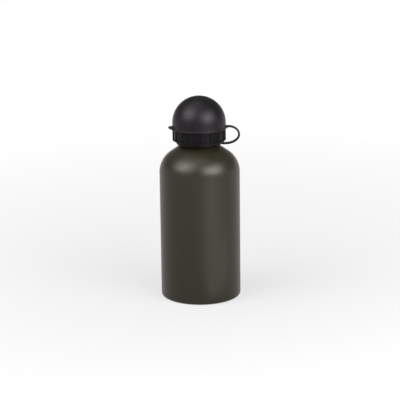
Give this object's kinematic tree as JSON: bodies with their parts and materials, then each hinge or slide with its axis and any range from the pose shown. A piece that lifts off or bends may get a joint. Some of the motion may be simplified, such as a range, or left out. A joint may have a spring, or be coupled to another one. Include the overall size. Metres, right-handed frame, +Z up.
{
  "type": "sports water bottle",
  "caption": "Painted aluminium drinking bottle with a round shoulder, a ribbed screw cap, a push-pull spout and a domed dust cover held by a moulded strap.",
  "frame": {"origin": "centre of the plane that the bottle stands on, on the bottle's axis", "axes": "+Z up along the bottle's axis, +X towards the strap, -X towards the cover's lift tab, -Y towards the viewer"},
  "size_m": [0.0738, 0.073, 0.1858],
  "materials": {
    "painted_shell": "matte",
    "cap_plastic": "satin",
    "spout_plastic": "satin",
    "cover_plastic": "satin",
    "silicone": "matte"
  },
  "bodies": {
    "bottle": {"bottle_shell": "painted_shell"},
    "tether": {"tether_ring": "cover_plastic", "strap_lower": "cover_plastic"},
    "cap": {"screw_cap": "cap_plastic", "seal_ring": "silicone", "air_valve": "silicone"},
    "spout": {"spout": "spout_plastic"},
    "dome": {"dome_cover": "cover_plastic", "strap_upper": "cover_plastic"}
  },
  "joints": [
    {"name": "cap_lift", "type": "slide", "parent": "bottle", "child": "tether", "axis": [0, 0, 1], "range_m": [0, 0.0121]},
    {"name": "cap_turn", "type": "hinge", "parent": "tether", "child": "cap", "pos_m": [0, 0, 0.15], "axis": [0, 0, 1], "range_deg": [0, 1080]},
    {"name": "spout_pull", "type": "slide", "parent": "cap", "child": "spout", "axis": [0, 0, 1], "range_m": [0, 0.006]},
    {"name": "dome_flip", "type": "hinge", "parent": "tether", "child": "dome", "pos_m": [0.03755, 0, 0.14935], "axis": [0, 1, 0], "range_deg": [0, 170]}
  ],
  "couplings": [
    {"joint": "cap_lift", "follows": "cap_turn", "m_per_rad": 0.00063662}
  ]
}
